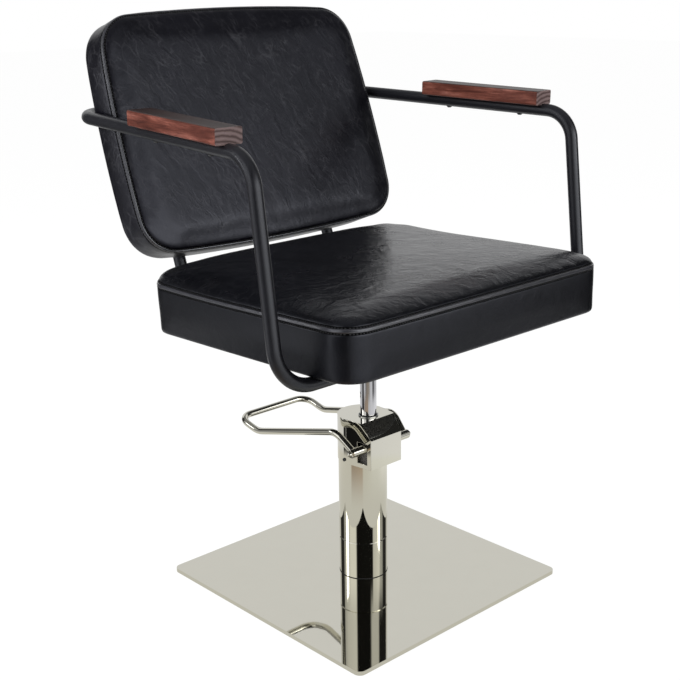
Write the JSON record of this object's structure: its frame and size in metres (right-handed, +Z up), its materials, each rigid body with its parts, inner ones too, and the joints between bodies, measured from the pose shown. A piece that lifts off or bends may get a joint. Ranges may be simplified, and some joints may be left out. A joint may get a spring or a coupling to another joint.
{
  "type": "hairdressing chair",
  "caption": "Styling chair: cushioned seat and backrest on a bent tube frame with wooden arm pads, on a hydraulic swivel column with a square base plate.",
  "frame": {"origin": "centre of the column on the floor", "axes": "+Z up, the sitter faces -Y, +X is on the sitter's left; the seat is at rest above the base, squared to it"},
  "size_m": [0.7238, 0.6607, 0.9665],
  "materials": {
    "chrome": "mirror-polished plated sheet and rod",
    "ram_steel": "ground and hard-chromed bar",
    "cast_iron": "as cast, painted",
    "cast_alloy": "die cast",
    "tank_steel": "dull black",
    "zinc_steel": "zinc plated",
    "brass": "machined bronze",
    "rubber": "matt black",
    "black_paint": "black powder coat, fine texture",
    "black_steel": "blackened",
    "plywood": "birch ply",
    "foam": "moulded foam",
    "vinyl": "black grained upholstery vinyl, soft sheen",
    "lining": "black non-woven lining",
    "pad_wood": "dark red-brown varnished hardwood"
  },
  "bodies": {
    "base": {"base_cover": "chrome", "base_weight": "cast_iron", "base_glides": "rubber", "foot_bolts": "zinc_steel", "pump_foot": "cast_iron", "column_sleeve": "chrome", "column_jacket": "chrome", "oil_tank": "tank_steel", "pressure_cylinder": "ram_steel", "pump_head": "cast_alloy", "head_bolts": "zinc_steel", "guide_bush": "brass", "rod_seal": "rubber", "gland_ring": "zinc_steel", "wiper_ring": "rubber", "pump_barrel": "ram_steel", "release_valve": "brass", "pump_cover": "chrome", "cover_screw": "black_steel", "plunger_spring": "zinc_steel"},
    "plunger": {"plunger": "ram_steel"},
    "pedal": {"pedal_bar": "chrome", "pedal_axle": "chrome", "pedal_bosses": "chrome", "axle_nuts": "chrome", "pump_lever": "tank_steel", "release_lever": "tank_steel", "pedal_spring": "zinc_steel"},
    "lift": {"ram_piston": "tank_steel", "piston_seal": "rubber", "thrust_washer": "brass"},
    "seat": {"ram_rod": "ram_steel", "seat_hub": "black_paint", "hub_bolts": "zinc_steel", "frame_loop": "black_paint", "frame_cross": "black_paint", "frame_rail_left": "black_paint", "frame_rail_right": "black_paint", "rail_bolts": "black_steel", "saddle_washers": "black_paint", "seat_board": "plywood", "seat_tee_nuts": "zinc_steel", "seat_foam": "foam", "seat_cover": "vinyl", "seat_dust_cloth": "lining", "back_board": "plywood", "back_tee_nuts": "zinc_steel", "back_foam": "foam", "back_cover": "vinyl", "back_panel": "vinyl", "back_spacers": "black_paint", "back_bolts": "black_steel", "arm_pad_left": "pad_wood", "arm_pad_right": "pad_wood", "arm_screws": "black_steel"}
  },
  "joints": [
    {"name": "seat_lift", "type": "slide", "parent": "base", "child": "lift", "axis": [0, 0, 1], "range_m": [-0.115, 0.035]},
    {"name": "seat_swivel", "type": "hinge", "parent": "lift", "child": "seat", "pos_m": [0, -0.0146, 0.2], "axis": [0, 0, 1], "continuous": true},
    {"name": "pedal_press", "type": "hinge", "parent": "base", "child": "pedal", "pos_m": [0, -0.0415, 0.257], "axis": [-1, 0, 0], "range_deg": [0, 18], "stiffness_Nm_per_rad": 4, "springref_deg": -22.92, "deforming": ["pedal_spring"]},
    {"name": "plunger_slide", "type": "slide", "parent": "base", "child": "plunger", "axis": [0, 0, -1], "range_m": [0, 0.007], "stiffness_N_per_m": 300, "springref_m": -0.005, "deforming": ["plunger_spring"]}
  ],
  "couplings": [
    {"joint": "plunger_slide", "follows": "pedal_press", "m_per_rad": 0.0215}
  ]
}
